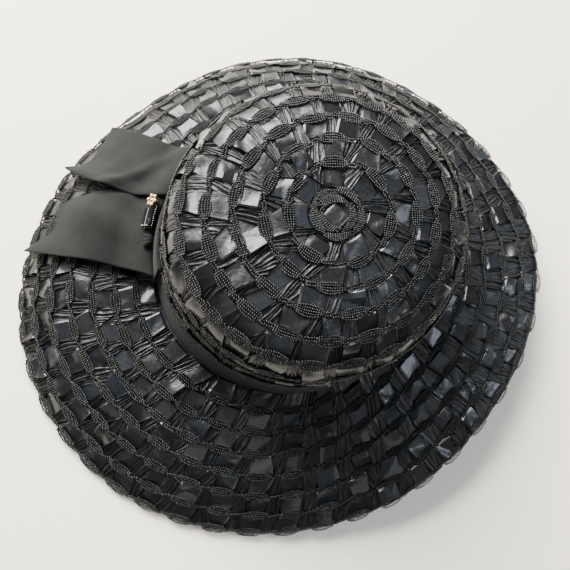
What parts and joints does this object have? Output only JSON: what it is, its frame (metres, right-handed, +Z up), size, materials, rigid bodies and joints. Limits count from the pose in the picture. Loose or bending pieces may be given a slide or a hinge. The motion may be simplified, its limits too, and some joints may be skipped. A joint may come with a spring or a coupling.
{
  "type": "wide-brimmed straw hat",
  "caption": "Wide bell-brimmed hat of spiral-sewn straw braid with a domed crown, a ribbon band and a flat bow held by a stone-set ornament.",
  "frame": {"origin": "on the ground under the middle of the hat's outer box, where the rim rests", "axes": "+Z up through the crown, +Y towards the wearer's back, +X towards the wearer's left; the bow is on the -X side"},
  "size_m": [0.331, 0.3796, 0.1194],
  "materials": {
    "black_straw": "gloss",
    "charcoal_ribbon": "matte",
    "gilt_setting": "polished"
  },
  "bodies": {
    "root": {"crown": "black_straw", "brim": "black_straw", "hat_band": "charcoal_ribbon", "band_lap": "charcoal_ribbon", "bow_tail_upper": "charcoal_ribbon", "bow_tail_lower": "charcoal_ribbon", "bow_ornament": "gilt_setting", "bow_knot": "charcoal_ribbon"}
  },
  "joints": []
}
